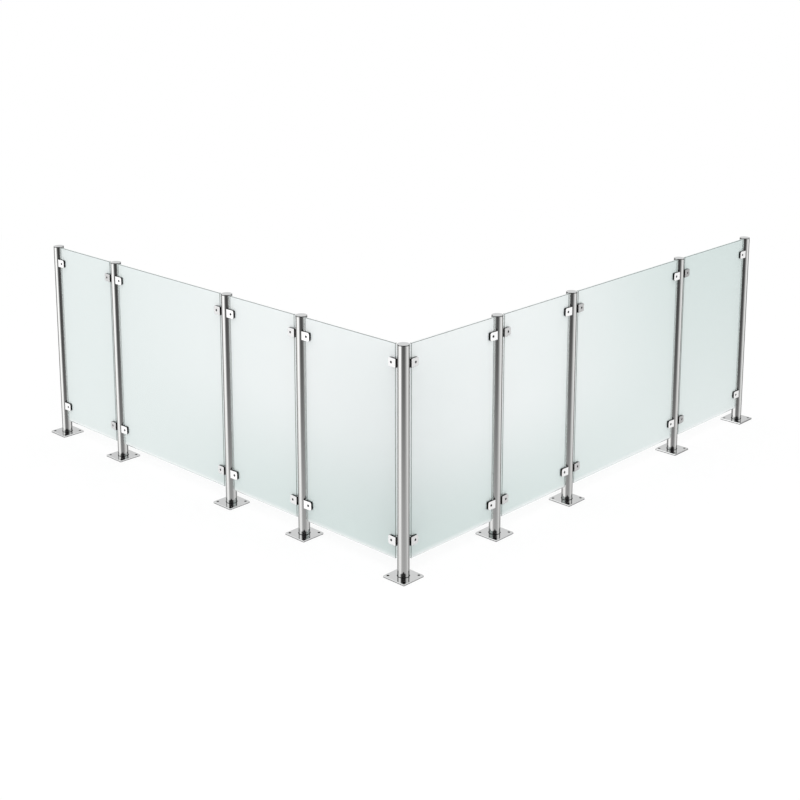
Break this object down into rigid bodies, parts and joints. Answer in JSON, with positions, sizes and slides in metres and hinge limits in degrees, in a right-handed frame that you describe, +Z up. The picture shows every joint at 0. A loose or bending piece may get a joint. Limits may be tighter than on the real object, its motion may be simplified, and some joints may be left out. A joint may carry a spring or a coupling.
{
  "type": "polycarbonate fence panel run",
  "caption": "L-shaped corner run of frosted polycarbonate fence panels, clamped by their edges to round steel posts that stand on square base plates.",
  "frame": {"origin": "axis of the corner post at floor level, on the underside of its base plate", "axes": "+Z up; the left wing runs along -X with its outer face towards -Y, and the right wing runs along +Y with its outer face towards +X"},
  "size_m": [2.543, 2.703, 1],
  "materials": {
    "satin_steel": "satin, drawn",
    "polished_steel": "polished",
    "frosted_polycarbonate": "frosted, translucent",
    "black_rubber": "matt"
  },
  "bodies": {
    "root": {"post_tube_1": "satin_steel", "post_tube_2": "satin_steel", "post_tube_3": "satin_steel", "post_tube_4": "satin_steel", "post_tube_5": "satin_steel", "post_tube_6": "satin_steel", "post_tube_7": "satin_steel", "post_tube_8": "satin_steel", "post_tube_9": "satin_steel", "post_caps_left": "polished_steel", "base_plates_left": "polished_steel", "post_caps_right": "polished_steel", "base_plates_right": "polished_steel", "panel_1": "frosted_polycarbonate", "clamp_bodies_1": "satin_steel", "clamp_gaskets_1": "black_rubber", "clamp_covers_1": "satin_steel", "panel_2": "frosted_polycarbonate", "clamp_bodies_2": "satin_steel", "clamp_gaskets_2": "black_rubber", "clamp_covers_2": "satin_steel", "panel_3": "frosted_polycarbonate", "clamp_bodies_3": "satin_steel", "clamp_gaskets_3": "black_rubber", "clamp_covers_3": "satin_steel", "panel_4": "frosted_polycarbonate", "clamp_bodies_4": "satin_steel", "clamp_gaskets_4": "black_rubber", "clamp_covers_4": "satin_steel", "panel_5": "frosted_polycarbonate", "clamp_bodies_5": "satin_steel", "clamp_gaskets_5": "black_rubber", "clamp_covers_5": "satin_steel", "panel_6": "frosted_polycarbonate", "clamp_bodies_6": "satin_steel", "clamp_gaskets_6": "black_rubber", "clamp_covers_6": "satin_steel", "panel_7": "frosted_polycarbonate", "clamp_bodies_7": "satin_steel", "clamp_gaskets_7": "black_rubber", "clamp_covers_7": "satin_steel", "panel_8": "frosted_polycarbonate", "clamp_bodies_8": "satin_steel", "clamp_gaskets_8": "black_rubber", "clamp_covers_8": "satin_steel"}
  },
  "joints": []
}
